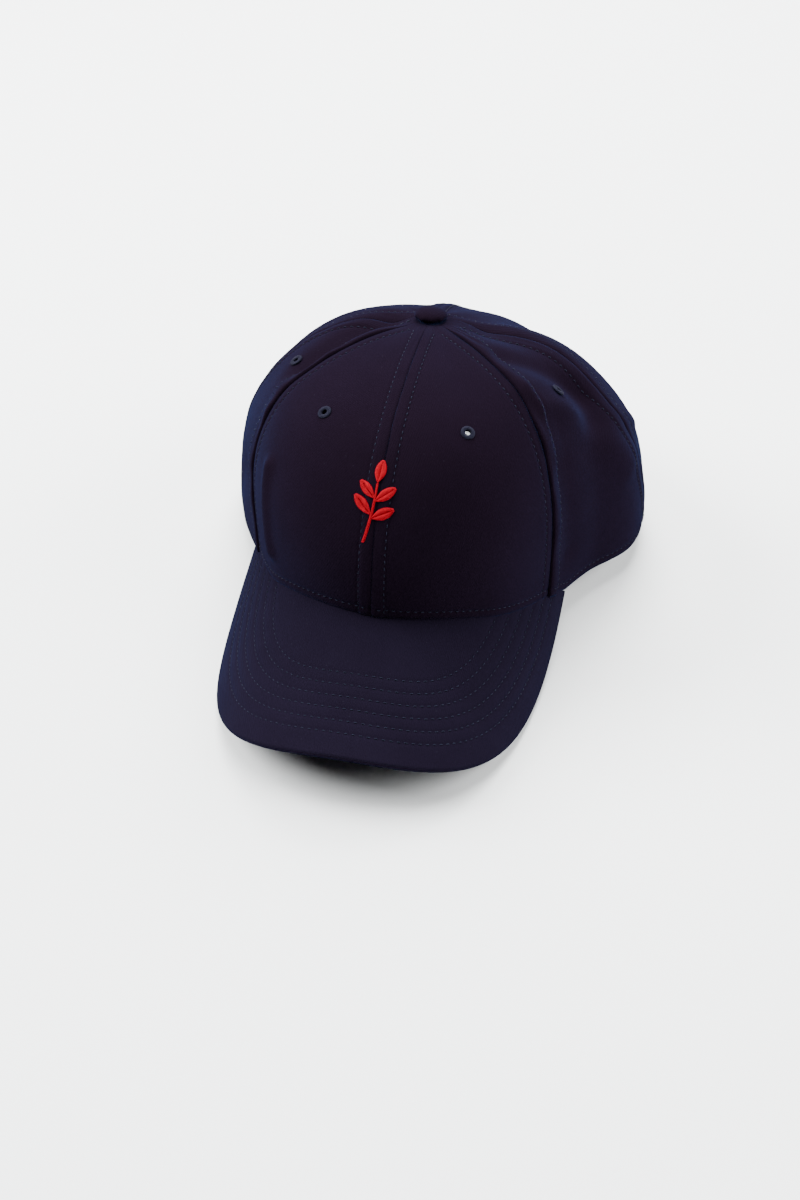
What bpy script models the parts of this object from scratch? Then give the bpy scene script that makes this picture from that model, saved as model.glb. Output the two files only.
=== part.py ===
"""Six-panel cloth cap with a curved peak, resting on its peak's side edges and the back of its rim.

The crown is six sewn panels with an embroidered eyelet in each, a covered button on top and an arch at the
back that a strap closes. Left and right are as seen by someone who faces the peak. The cap is modelled with
its rim plane level, the peak towards -Y, and then leaned back until it rests on the ground.
"""

import math

import bmesh
import bpy
from mathutils import Matrix, Vector

# Crown, in metres
CROWN_WIDTH = 0.1866
CROWN_LENGTH = 0.2164
CROWN_HEIGHT = 0.1066
BUTTON_FORWARD = 0.0082
CLOTH = 0.0016
SEAM_GAP = 0.0004
FIT_GAP = 0.0003

# Seams, in degrees from the front centre, and the raised strip beside the two front seams
FRONT_SEAM = 52.2
BACK_SEAM = 104.0
BACK_SEAM_BOW = 13.0
SEAM_STRIP_WIDTH = 0.0065
SEAM_STRIP_LIFT = 0.0010

# Peak
PEAK_LENGTH = 0.0664
PEAK_FLARE = 0.0010
PEAK_THICKNESS = 0.0030
PEAK_BEND_RADIUS = 0.0785
PEAK_SLOPE = math.radians(22.2)
PEAK_END = FRONT_SEAM + 9.8
PEAK_CORNER = 2.55

# Button and eyelets
BUTTON_RADIUS = 0.0070
BUTTON_HEIGHT = 0.0046
HUB_RADIUS = 0.0032
EYELET_RADIUS = 0.0030
EYELET_HOLE = 0.0011
EYELET_THREAD = 0.0006
EYELET_CLIMB = 0.57

# Arch and strap at the back
ARCH_HALF_WIDTH = 0.036
ARCH_HEIGHT = 0.042
STRAP_HEIGHT = 0.019
STRAP_THICKNESS = 0.0016
STRAP_LAP = 0.012

# Meridians of the crown. Reach is a share of the rim's ellipse. Square and steep are the two powers of the
# profile: 2 is round, more is boxier. Belly is the swell half way up, as a share of the reach.
MERIDIANS = (
    # azimuth, reach, square, steep, belly
    (-150.0, 1.040, 1.71, 1.69, 0.007),
    (-120.0, 1.068, 1.84, 2.05, 0.020),
    (-100.0, 1.032, 2.06, 2.05, 0.004),
    (-78.0, 0.920, 2.24, 2.60, 0.034),
    (-57.0, 0.872, 2.58, 3.20, 0.068),
    (-28.0, 0.994, 2.58, 2.79, 0.041),
    (0.0, 1.072, 2.43, 2.52, 0.007),
    (28.0, 1.010, 2.71, 2.70, 0.025),
    (57.0, 0.888, 3.00, 3.13, 0.028),
    (74.0, 0.898, 2.92, 2.87, 0.043),
    (90.0, 1.046, 2.83, 2.21, 0.017),
    (106.0, 1.101, 2.44, 1.90, 0.023),
    (120.0, 1.116, 1.89, 1.68, 0.011),
    (150.0, 1.060, 1.76, 1.72, 0.007),
    (180.0, 1.035, 1.73, 1.67, 0.005),
)

# Folds of the slack side panels: a line from one point of the crown to another, how far its slope spreads
# as a share of the crown's height, and how far it lifts the cloth as a share of the same height.
FOLDS = (
    # azimuth, climb, azimuth, climb, spread, lift
    (95.0, 0.90, 80.0, 0.44, 0.095, -0.042),
    (60.0, 0.62, 88.0, 0.26, 0.085, 0.022),
    (58.0, 0.30, 62.0, 0.06, 0.075, -0.015),
    (-62.0, 0.60, -88.0, 0.88, 0.080, -0.034),
    (-66.0, 0.13, -84.0, 0.08, 0.070, -0.016),
    (-38.0, 0.29, -33.0, 0.05, 0.040, 0.009),
)

SEAMS = {
    "front": (0.0, 0.0),
    "front_right": (FRONT_SEAM, 0.0),
    "back_right": (BACK_SEAM, -BACK_SEAM_BOW),
    "back": (180.0, 0.0),
    "back_left": (360.0 - BACK_SEAM, BACK_SEAM_BOW),
    "front_left": (360.0 - FRONT_SEAM, 0.0),
    "front_again": (360.0, 0.0),
}

PANELS = (
    # name, seam it starts at, seam it ends at, side of the raised strip
    ("panel_front_right", "front", "front_right", 0),
    ("panel_side_right", "front_right", "back_right", 1),
    ("panel_back_right", "back_right", "back", 0),
    ("panel_back_left", "back", "back_left", 0),
    ("panel_side_left", "back_left", "front_left", -1),
    ("panel_front_left", "front_left", "front_again", 0),
)

PANEL_COLUMNS = 15
PANEL_ROWS = 19


def meridian(azimuth):
    """Reach, square, steep and belly at an azimuth, eased from row to row round the crown."""
    turn = (azimuth + 180.0) % 360.0 - 180.0
    count = len(MERIDIANS)
    after = next((i for i, row in enumerate(MERIDIANS) if row[0] > turn), count)
    angles = []
    for step in (-2, -1, 0, 1):
        laps, index = divmod(after + step, count)
        angles.append((MERIDIANS[index][0] + 360.0 * laps, MERIDIANS[index]))
    (a0, r0), (a1, r1), (a2, r2), (a3, r3) = angles
    span = a2 - a1
    s = (turn - a1) / span
    values = []
    for column in (1, 2, 3, 4):
        slope1 = (r2[column] - r0[column]) / (a2 - a0) * span
        slope2 = (r3[column] - r1[column]) / (a3 - a1) * span
        values.append((2 * s**3 - 3 * s**2 + 1) * r1[column] + (s**3 - 2 * s**2 + s) * slope1
                      + (3 * s**2 - 2 * s**3) * r2[column] + (s**3 - s**2) * slope2)
    return values


def rim_plan(azimuth):
    """Point of the rim's outer edge seen from above."""
    reach = meridian(azimuth)[0]
    angle = math.radians(azimuth)
    return Vector((CROWN_WIDTH / 2 * reach * math.sin(angle), -CROWN_LENGTH / 2 * reach * math.cos(angle)))


def peak_sheet(across, forward):
    """Point of the peak's bent sheet from its two flat-pattern lengths."""
    bend = across / PEAK_BEND_RADIUS
    drop = PEAK_BEND_RADIUS * (1 - math.cos(bend))
    y = rim_plan(0.0).y - forward * math.cos(PEAK_SLOPE) + drop * math.sin(PEAK_SLOPE)
    z = -forward * math.sin(PEAK_SLOPE) - drop * math.cos(PEAK_SLOPE)
    return Vector((PEAK_BEND_RADIUS * math.sin(bend), y, z))


def peak_join(azimuth):
    """Flat-pattern lengths of the peak's sheet where it meets the rim."""
    plan = rim_plan(azimuth)
    bend = math.asin(max(-0.98, min(0.98, plan.x / PEAK_BEND_RADIUS)))
    drop = PEAK_BEND_RADIUS * (1 - math.cos(bend))
    forward = (rim_plan(0.0).y - plan.y + drop * math.sin(PEAK_SLOPE)) / math.cos(PEAK_SLOPE)
    return PEAK_BEND_RADIUS * bend, forward


def end_level(azimuth):
    """Height of the line between the peak's two ends, below the front of the peak's sheet."""
    left = peak_sheet(*peak_join(-PEAK_END)).z
    right = peak_sheet(*peak_join(PEAK_END)).z
    share = (max(-PEAK_END, min(PEAK_END, azimuth)) + PEAK_END) / (2 * PEAK_END)
    return left + (right - left) * share


def rim_height(azimuth):
    """The rim arches up where the peak is sewn to it and is level elsewhere."""
    turn = (azimuth + 180.0) % 360.0 - 180.0
    held = max(-PEAK_END, min(PEAK_END, turn))
    return peak_sheet(*peak_join(held)).z - end_level(held)


def smooth_crown(azimuth, climb):
    """Point of the crown without its folds; climb runs from 0 at the rim to 1 under the button."""
    reach, square, steep, belly = meridian(azimuth)
    plan = rim_plan(azimuth)
    low = rim_height(azimuth)
    phase = min(climb, 1.0) * math.pi / 2
    inward = max(math.cos(phase), 0.0) ** (2 / square) * (1 + belly * math.sin(2 * phase))
    upward = math.sin(phase) ** (2 / steep)
    return Vector((plan.x * inward, plan.y * inward - BUTTON_FORWARD * upward,
                   low + (CROWN_HEIGHT - low) * upward))


def crown_normal(azimuth, climb):
    """Outward direction of the smooth crown."""
    low, high = max(climb - 0.01, 0.0), min(climb + 0.01, 0.995)
    along = smooth_crown(azimuth + 1.0, climb) - smooth_crown(azimuth - 1.0, climb)
    upward = smooth_crown(azimuth, high) - smooth_crown(azimuth, low)
    return along.cross(upward).normalized()


def fold_lift(point, azimuth, climb):
    """How far the folds lift the cloth at a point of the crown."""
    lift = 0.0
    for azimuth_1, climb_1, azimuth_2, climb_2, spread, height in FOLDS:
        turn = (azimuth - azimuth_1 + 180.0) % 360.0 - 180.0
        if abs(turn) > 75.0:
            continue
        start = smooth_crown(azimuth_1, climb_1)
        line = smooth_crown(azimuth_2, climb_2) - start
        share = max(0.0, min(1.0, (point - start).dot(line) / line.length_squared))
        away = (point - start - line * share).length / (spread * CROWN_HEIGHT)
        lift += height * CROWN_HEIGHT * math.exp(-away * away)
    return lift


def crown_point(azimuth, climb, lift=0.0):
    """Point of the crown's outer face, or of a surface lifted off it."""
    point = smooth_crown(azimuth, climb)
    return point + crown_normal(azimuth, climb) * (fold_lift(point, azimuth, climb) + lift)


def seam_azimuth(seam, climb):
    """A back seam bows forward half way up."""
    azimuth, bow = SEAMS[seam]
    return azimuth + bow * math.sin(math.pi * climb)


def hub_climb(azimuth):
    """Climb at which a panel's tip ends round the button's stem."""
    square = meridian(azimuth)[1]
    share = HUB_RADIUS / rim_plan(azimuth).length
    return math.acos(share ** (square / 2)) / (math.pi / 2)


def make_mesh_object(name, mesh, material, collection, frame):
    """Add a mesh to the cap, in its material and in the cap's own frame."""
    thing = bpy.data.objects.new(name, mesh)
    mesh.materials.append(material)
    collection.objects.link(thing)
    thing.parent = frame
    return thing


def make_sheet(name, columns, rows, place):
    """Mesh of an open sheet: a flat grid whose points a function places by their two shares."""
    grid = bmesh.new()
    bmesh.ops.create_grid(grid, x_segments=columns, y_segments=rows, size=0.5)
    for vertex in grid.verts:
        vertex.co = place(vertex.co.x + 0.5, vertex.co.y + 0.5)
    mesh = bpy.data.meshes.new(name)
    grid.to_mesh(mesh)
    grid.free()
    mesh.shade_smooth()
    return mesh


def thicken(thing, thickness):
    """Give an open sheet its wall, behind the face that shows."""
    wall = thing.modifiers.new("wall", "SOLIDIFY")
    wall.thickness = thickness
    wall.offset = -1.0
    wall.use_rim = True


def turn_profile(name, profile, closed):
    """Mesh of a turned piece: a half profile, run down its outer side, and a Screw modifier."""
    mesh = bpy.data.meshes.new(name)
    count = len(profile)
    links = [(i, (i + 1) % count) for i in range(count if closed else count - 1)]
    mesh.from_pydata([(radius, 0.0, height) for radius, height in profile], links, [])
    return mesh


def add_screw(thing, steps):
    """Turn a profile round its own Z axis."""
    screw = thing.modifiers.new("turn", "SCREW")
    screw.steps = steps
    screw.render_steps = steps
    screw.use_merge_vertices = True
    screw.merge_threshold = 0.00005
    screw.use_smooth_shade = True


def surface_frame(azimuth, climb):
    """Matrix whose Z axis stands on the crown's outer face, folds included."""
    along = crown_point(azimuth + 2.0, climb) - crown_point(azimuth - 2.0, climb)
    upward = crown_point(azimuth, climb + 0.02) - crown_point(azimuth, climb - 0.02)
    normal = along.cross(upward).normalized()
    turn = Vector((0.0, 0.0, 1.0)).rotation_difference(normal)
    return Matrix.Translation(crown_point(azimuth, climb)) @ turn.to_matrix().to_4x4()


def cut(thing, cutter):
    """Cut a hole through a finished wall."""
    hole = thing.modifiers.new(cutter.name, "BOOLEAN")
    hole.operation = "DIFFERENCE"
    hole.solver = "EXACT"
    hole.object = cutter


def add_cutter(name, collection, frame, matrix):
    """Turn the primitive that was just added into a cutter in the cap's own frame."""
    cutter = bpy.context.object
    cutter.name = name
    for other in list(cutter.users_collection):
        other.objects.unlink(cutter)
    collection.objects.link(cutter)
    cutter.parent = frame
    cutter.matrix_local = matrix
    cutter.hide_render = True
    cutter.display_type = "WIRE"
    return cutter


def make_material(name, color, roughness):
    """Plain cloth or thread."""
    material = bpy.data.materials.new(name)
    material.use_nodes = True
    shader = material.node_tree.nodes["Principled BSDF"]
    shader.inputs["Base Color"].default_value = (*color, 1.0)
    shader.inputs["Roughness"].default_value = roughness
    shader.inputs["Metallic"].default_value = 0.0
    return material


def make_panel(name, start, end, strip_side, material, collection, frame):
    """One sewn panel from the rim to the button's stem."""

    def place(across, up):
        across = across - 0.5 * math.sin(2 * math.pi * across) / (2 * math.pi)
        first, last = seam_azimuth(start, 0.0), seam_azimuth(end, 0.0)
        climb = hub_climb(first + (last - first) * across) * up**1.3
        first, last = seam_azimuth(start, climb), seam_azimuth(end, climb)
        reach = (smooth_crown((first + last) / 2, climb).xy + Vector((0.0, BUTTON_FORWARD))).length
        inset = math.degrees(SEAM_GAP / 2 / reach)
        azimuth = first + inset + (last - first - 2 * inset) * across
        edge = across if strip_side > 0 else 1 - across
        from_seam = math.radians(last - first) * edge * reach
        fall = max(0.0, min(1.0, (from_seam - SEAM_STRIP_WIDTH * 0.8) / (SEAM_STRIP_WIDTH * 0.4)))
        lift = SEAM_STRIP_LIFT * (1 - fall * fall * (3 - 2 * fall)) if strip_side else 0.0
        return crown_point(azimuth, climb, lift * min(1.0, (1 - up) * 3))

    panel = make_mesh_object(name, make_sheet(name, PANEL_COLUMNS, PANEL_ROWS, place), material, collection, frame)
    thicken(panel, CLOTH)
    return panel


def make_eyelet(panel, name, azimuth, material, collection, cutters, frame):
    """Embroidered ring with a sleeve through the cloth, and the hole it is worked in."""
    sleeve = EYELET_HOLE + EYELET_THREAD
    profile = (
        (EYELET_HOLE + EYELET_THREAD * 0.4, FIT_GAP + EYELET_THREAD * 1.3),
        (sleeve + EYELET_THREAD * 0.6, FIT_GAP + EYELET_THREAD * 1.5),
        (EYELET_RADIUS, FIT_GAP + EYELET_THREAD * 0.7),
        (EYELET_RADIUS - EYELET_THREAD * 0.2, FIT_GAP),
        (sleeve, FIT_GAP),
        (sleeve, -CLOTH),
        (EYELET_HOLE, -CLOTH),
        (EYELET_HOLE, FIT_GAP + EYELET_THREAD * 0.7),
    )
    matrix = surface_frame(azimuth, EYELET_CLIMB)
    ring = make_mesh_object(name, turn_profile(name, profile, True), material, collection, frame)
    ring.matrix_local = matrix
    add_screw(ring, 16)
    bpy.ops.mesh.primitive_cylinder_add(vertices=16, radius=sleeve + FIT_GAP, depth=CLOTH * 8)
    cut(panel, add_cutter("hole_" + name, cutters, frame, matrix))


def make_button(material, collection, frame):
    """Covered button with the stem that goes down between the panels' tips."""
    stem = HUB_RADIUS * 0.35
    profile = [(0.0, FIT_GAP + BUTTON_HEIGHT)]
    for step in range(1, 6):
        angle = math.radians(18.0 * step)
        profile.append((BUTTON_RADIUS * math.sin(angle), FIT_GAP + BUTTON_HEIGHT * (0.3 + 0.7 * math.cos(angle))))
    profile += [(BUTTON_RADIUS * 0.9, FIT_GAP), (stem, FIT_GAP), (stem, -CLOTH * 2), (0.0, -CLOTH * 2)]
    button = make_mesh_object("button", turn_profile("button", profile, False), material, collection, frame)
    button.location = (0.0, -BUTTON_FORWARD, CROWN_HEIGHT)
    add_screw(button, 24)


def peak_face(across, out):
    """Point of the peak's upper face: across runs from -1 to 1, out from the rim to the outer edge."""
    inner = peak_join(across * PEAK_END)
    end = peak_join(PEAK_END if across > 0 else -PEAK_END)
    angle = across * math.pi / 2
    width = abs(end[0]) + PEAK_FLARE
    outer = (math.copysign(width * abs(math.sin(angle)) ** (2 / PEAK_CORNER), across),
             end[1] + (PEAK_LENGTH - end[1]) * max(math.cos(angle), 0.0) ** (2 / PEAK_CORNER))
    pattern = [inner[i] + (outer[i] - inner[i]) * out for i in (0, 1)]
    point = peak_sheet(*pattern)
    point.z -= end_level(across * PEAK_END) + FIT_GAP
    return point


def make_peak(material, collection, frame):
    """Stiffened peak, bent about a line that runs forward and down."""
    mesh = make_sheet("peak", 40, 9, lambda across, out: peak_face(1 - 2 * across, out))
    peak = make_mesh_object("peak", mesh, material, collection, frame)
    thicken(peak, PEAK_THICKNESS)


def make_strap(material, collection, frame):
    """Strap across the arch, its ends sewn inside the back panels."""
    back = rim_plan(180.0).length
    half_angle = math.degrees((ARCH_HALF_WIDTH + STRAP_LAP) / back)
    top = math.asin((STRAP_HEIGHT / CROWN_HEIGHT) ** (meridian(180.0)[2] / 2)) / (math.pi / 2)

    def place(across, up):
        return crown_point(180.0 + half_angle * (2 * across - 1), top * up**1.3, -CLOTH - FIT_GAP)

    strap = make_mesh_object("back_strap", make_sheet("back_strap", 20, 4, place), material, collection, frame)
    thicken(strap, STRAP_THICKNESS)


def rest_lean():
    """Angle the cap leans back by, until the peak's edge and the back of the rim are level."""
    back = rim_plan(180.0).y
    lean = 0.0
    for step in range(-40, 41):
        point = peak_face(step / 40, 1.0)
        lean = max(lean, math.atan2(PEAK_THICKNESS - point.z, back - point.y))
    return lean


def put_on_ground(frame, collection):
    """Stand the leaned cap on Z = 0 with the middle of its outline at the origin."""
    frame.rotation_euler.x = -rest_lean()
    bpy.context.view_layer.update()
    depsgraph = bpy.context.evaluated_depsgraph_get()
    low, high = Vector((1.0, 1.0, 1.0)), Vector((-1.0, -1.0, -1.0))
    for thing in collection.objects:
        shape = thing.evaluated_get(depsgraph)
        mesh = shape.to_mesh()
        for vertex in mesh.vertices:
            place = shape.matrix_world @ vertex.co
            low = Vector(map(min, low, place))
            high = Vector(map(max, high, place))
        shape.to_mesh_clear()
    middle = (low + high) / 2
    frame.location = (-middle.x, -middle.y, -low.z)
    bpy.context.view_layer.update()


def build_cap():
    for thing in list(bpy.data.objects):
        bpy.data.objects.remove(thing)
    cap = bpy.data.collections.new("six_panel_cap")
    cutters = bpy.data.collections.new("cutters")
    for collection in (cap, cutters):
        bpy.context.scene.collection.children.link(collection)
    frame = bpy.data.objects.new("cap_frame", None)
    bpy.context.scene.collection.objects.link(frame)

    crown_cloth = make_material("crown_cloth", (0.012, 0.010, 0.020), 0.9)
    peak_cloth = make_material("peak_cloth", (0.013, 0.012, 0.024), 0.9)
    button_cloth = make_material("button_cloth", (0.012, 0.011, 0.022), 0.9)
    eyelet_thread = make_material("eyelet_thread", (0.030, 0.032, 0.060), 0.7)
    strap_cloth = make_material("strap_cloth", (0.012, 0.010, 0.020), 0.9)

    bpy.ops.mesh.primitive_cylinder_add(vertices=48, radius=1.0, depth=CROWN_LENGTH / 2,
                                        rotation=(math.pi / 2, 0.0, 0.0))
    bpy.ops.object.transform_apply(rotation=True)
    bpy.context.object.scale = (ARCH_HALF_WIDTH, 1.0, ARCH_HEIGHT)
    bpy.ops.object.transform_apply(scale=True)
    arch = add_cutter("arch", cutters, frame, Matrix.Translation((0.0, rim_plan(180.0).y, 0.0)))

    for name, start, end, strip_side in PANELS:
        panel = make_panel(name, start, end, strip_side, crown_cloth, cap, frame)
        if "back" in name:
            cut(panel, arch)
        middle = (seam_azimuth(start, EYELET_CLIMB) + seam_azimuth(end, EYELET_CLIMB)) / 2
        make_eyelet(panel, name.replace("panel", "eyelet"), middle, eyelet_thread, cap, cutters, frame)
    make_button(button_cloth, cap, frame)
    make_peak(peak_cloth, cap, frame)
    make_strap(strap_cloth, cap, frame)
    put_on_ground(frame, cap)


build_cap()
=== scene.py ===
"""Looks of the six-panel cap: sewn twill panels, stitched peak, covered button, worked eyelets and strap.

Shapes follow the same named sizes as the solids. Left and right are as seen by someone facing the peak.
"""

import math

import bmesh
import bpy
import numpy as np
from mathutils import Matrix, Vector


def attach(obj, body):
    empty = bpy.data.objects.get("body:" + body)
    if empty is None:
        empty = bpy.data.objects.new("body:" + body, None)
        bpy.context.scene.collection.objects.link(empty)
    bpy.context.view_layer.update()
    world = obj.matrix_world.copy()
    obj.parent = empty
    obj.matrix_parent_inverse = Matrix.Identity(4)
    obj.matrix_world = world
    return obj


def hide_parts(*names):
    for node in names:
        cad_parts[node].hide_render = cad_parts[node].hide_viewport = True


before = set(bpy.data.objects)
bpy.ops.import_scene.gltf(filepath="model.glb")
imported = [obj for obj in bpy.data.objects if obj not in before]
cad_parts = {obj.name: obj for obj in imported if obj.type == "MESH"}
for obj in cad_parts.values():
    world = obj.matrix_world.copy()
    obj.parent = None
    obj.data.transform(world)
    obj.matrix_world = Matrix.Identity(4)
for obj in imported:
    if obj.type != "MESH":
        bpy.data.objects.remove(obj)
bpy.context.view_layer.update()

MM = 0.001

# Crown, in metres
CROWN_WIDTH = 0.1866
CROWN_LENGTH = 0.2164
CROWN_HEIGHT = 0.1066
BUTTON_FORWARD = 0.0082
CLOTH = 0.0016
FIT_GAP = 0.0003

# Seams, in degrees from the front centre
FRONT_SEAM = 52.2
BACK_SEAM = 104.0
BACK_SEAM_BOW = 13.0

# Peak
PEAK_LENGTH = 0.0664
PEAK_FLARE = 0.0010
PEAK_THICKNESS = 0.0030
PEAK_BEND_RADIUS = 0.0785
PEAK_SLOPE = math.radians(22.2)
PEAK_END = FRONT_SEAM + 9.8
PEAK_CORNER = 2.55

# Button and eyelets
BUTTON_RADIUS = 0.0070
BUTTON_HEIGHT = 0.0046
HUB_RADIUS = 0.0032
EYELET_RADIUS = 0.0030
EYELET_HOLE = 0.0011
EYELET_CLIMB = 0.57
EYELET_SPARE = 0.0005
EYELET_CUT_DEPTH = 0.012
EYELET_RISE = 0.00062
EYELET_LIFT = 0.00025
EYELET_STITCHES = 32

# Arch and strap at the back
ARCH_HALF_WIDTH = 0.036
ARCH_HEIGHT = 0.042
STRAP_HEIGHT = 0.019
STRAP_THICKNESS = 0.0016
STRAP_LAP = 0.012
STRAP_ROLL = 0.0005
STRAP_STITCH_INSET = 0.0025
ARCH_TOP_CLIMB = 0.30

# Sewing
SEAM_BLOCK = 8.0 * MM
STITCH_FROM_SEAM = 5.4 * MM
STITCH_PITCH = 3.0 * MM
STITCH_LENGTH = 1.6 * MM
STITCH_BULGE = 0.30 * MM
STITCH_DIMPLE = 0.28 * MM
THREAD_RADIUS = 0.17 * MM
GROOVE_WIDTH = 0.7 * MM
DIMPLE_WIDTH = 0.8 * MM
SEAM_PUCKER = 0.25
SEAM_FADE_WIDTH = 16 * MM
HEM_STITCH_HEIGHT = 4.0 * MM
HEM_DIMPLE = 0.25 * MM
RIM_ROLL = 0.45 * MM
RIM_DROP = FIT_GAP + 0.1 * MM
RIM_DROP_HEIGHT = 1.5 * MM
FRONT_SLACK = 0.2475 * MM
SIDE_SLACK = 0.45 * MM
DEEPEST_DENT = 0.75 * CLOTH
PEAK_TUCK = 2.5 * MM
PEAK_ROWS = 6
PEAK_ROW_FIRST = 11.0 * MM
PEAK_ROW_STEP = 5.5 * MM
PEAK_CHANNEL = 0.28 * MM
PEAK_CHANNEL_WIDTH = 0.9 * MM

# Meridians of the crown. Reach scales the rim's half width and half length, square and steep say how boxy the
# meridian is on its way in and on its way up, and belly is how far it swells out.
MERIDIANS = np.array((
    # azimuth, reach, square, steep, belly
    (-150.0, 1.040, 1.71, 1.69, 0.007),
    (-120.0, 1.068, 1.84, 2.05, 0.020),
    (-100.0, 1.032, 2.06, 2.05, 0.004),
    (-78.0, 0.920, 2.24, 2.60, 0.034),
    (-57.0, 0.872, 2.58, 3.20, 0.068),
    (-28.0, 0.994, 2.58, 2.79, 0.041),
    (0.0, 1.072, 2.43, 2.52, 0.007),
    (28.0, 1.010, 2.71, 2.70, 0.025),
    (57.0, 0.888, 3.00, 3.13, 0.028),
    (74.0, 0.898, 2.92, 2.87, 0.043),
    (90.0, 1.046, 2.83, 2.21, 0.017),
    (106.0, 1.101, 2.44, 1.90, 0.023),
    (120.0, 1.116, 1.89, 1.68, 0.011),
    (150.0, 1.060, 1.76, 1.72, 0.007),
    (180.0, 1.035, 1.73, 1.67, 0.005),
))

# Folds of the slack cloth, each a line between two points of the crown. Spread and lift are shares of the
# crown's height. Some are deeper than the solids' so that they read in dark cloth.
FOLDS = (
    # azimuth, climb, azimuth, climb, spread, lift
    (95.0, 0.90, 80.0, 0.44, 0.095, -0.042),
    (64.0, 0.78, 84.0, 0.54, 0.060, -0.020),
    (60.0, 0.62, 88.0, 0.26, 0.085, 0.022),
    (60.0, 0.54, 100.0, 0.36, 0.045, 0.016),
    (58.0, 0.30, 62.0, 0.06, 0.075, -0.015),
    (-62.0, 0.60, -88.0, 0.88, 0.080, -0.050),
    (-66.0, 0.13, -84.0, 0.08, 0.070, -0.016),
    (-38.0, 0.29, -33.0, 0.05, 0.035, 0.019),
)

SEAMS = {
    "front": (0.0, 0.0),
    "front_right": (FRONT_SEAM, 0.0),
    "back_right": (BACK_SEAM, -BACK_SEAM_BOW),
    "back": (180.0, 0.0),
    "back_left": (360.0 - BACK_SEAM, BACK_SEAM_BOW),
    "front_left": (360.0 - FRONT_SEAM, 0.0),
    "front_again": (360.0, 0.0),
}

# How the cloth beside a seam lies: lift of the allowance under it, and depth of the seam's own groove.
SEAM_SIDES = {
    # kind: lift, groove, width of the lifted strip
    "open": (0.45 * MM, 0.55 * MM, 6.2 * MM),
    "low": (0.10 * MM, 0.35 * MM, 6.0 * MM),
    "strip": (1.45 * MM, 0.40 * MM, 7.2 * MM),
}

PANELS = {
    # name: seam it starts at, kind there, seam it ends at, kind there
    "panel_front_right": ("front", "open", "front_right", "low"),
    "panel_side_right": ("front_right", "strip", "back_right", "open"),
    "panel_back_right": ("back_right", "open", "back", "open"),
    "panel_back_left": ("back", "open", "back_left", "open"),
    "panel_side_left": ("back_left", "open", "front_left", "strip"),
    "panel_front_left": ("front_left", "low", "front_again", "open"),
}


def ease(value):
    """Smooth step from 0 to 1."""
    share = np.clip(value, 0.0, 1.0)
    return share * share * (3 - 2 * share)


def meridian(azimuth):
    """Reach, square, steep and belly at each azimuth, eased from row to row round the crown."""
    turn = (np.asarray(azimuth, float) + 180.0) % 360.0 - 180.0
    angles = np.concatenate([MERIDIANS[:, 0] - 360.0, MERIDIANS[:, 0], MERIDIANS[:, 0] + 360.0])
    rows = np.tile(MERIDIANS[:, 1:], (3, 1))
    after = np.searchsorted(angles, turn, side="right")
    a0, a1, a2, a3 = (angles[after + step][..., None] for step in (-2, -1, 0, 1))
    r0, r1, r2, r3 = (rows[after + step] for step in (-2, -1, 0, 1))
    s = (turn[..., None] - a1) / (a2 - a1)
    slope1 = (r2 - r0) / (a2 - a0) * (a2 - a1)
    slope2 = (r3 - r1) / (a3 - a1) * (a2 - a1)
    values = ((2 * s**3 - 3 * s**2 + 1) * r1 + (s**3 - 2 * s**2 + s) * slope1
              + (3 * s**2 - 2 * s**3) * r2 + (s**3 - s**2) * slope2)
    return np.moveaxis(values, -1, 0)


def rim_plan(azimuth):
    """Points of the rim's outer edge seen from above."""
    reach = meridian(azimuth)[0]
    angle = np.radians(azimuth)
    x = CROWN_WIDTH / 2 * reach * np.sin(angle)
    y = -CROWN_LENGTH / 2 * reach * np.cos(angle)
    return np.stack([x, y], -1)


RIM_FRONT = float(rim_plan(0.0)[1])
RIM_BACK = float(rim_plan(180.0)[1])


def peak_sheet(across, forward):
    """Points of the peak's bent sheet from its two flat-pattern lengths."""
    bend = np.asarray(across) / PEAK_BEND_RADIUS
    drop = PEAK_BEND_RADIUS * (1 - np.cos(bend))
    y = RIM_FRONT - forward * math.cos(PEAK_SLOPE) + drop * math.sin(PEAK_SLOPE)
    z = -forward * math.sin(PEAK_SLOPE) - drop * math.cos(PEAK_SLOPE)
    return np.stack([PEAK_BEND_RADIUS * np.sin(bend), y, z], -1)


def peak_join(azimuth):
    """Flat-pattern lengths of the peak's sheet where it meets the rim."""
    plan = rim_plan(azimuth)
    bend = np.arcsin(np.clip(plan[..., 0] / PEAK_BEND_RADIUS, -0.98, 0.98))
    drop = PEAK_BEND_RADIUS * (1 - np.cos(bend))
    forward = (RIM_FRONT - plan[..., 1] + drop * math.sin(PEAK_SLOPE)) / math.cos(PEAK_SLOPE)
    return PEAK_BEND_RADIUS * bend, forward


def end_level(azimuth):
    """Height of the line between the peak's two ends, below the front of the peak's sheet."""
    left = peak_sheet(*peak_join(-PEAK_END))[2]
    right = peak_sheet(*peak_join(PEAK_END))[2]
    share = (np.clip(azimuth, -PEAK_END, PEAK_END) + PEAK_END) / (2 * PEAK_END)
    return left + (right - left) * share


def rim_height(azimuth):
    """The rim arches up where the peak is sewn to it and is level elsewhere."""
    turn = (np.asarray(azimuth, float) + 180.0) % 360.0 - 180.0
    held = np.clip(turn, -PEAK_END, PEAK_END)
    return peak_sheet(*peak_join(held))[..., 2] - end_level(held)


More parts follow.
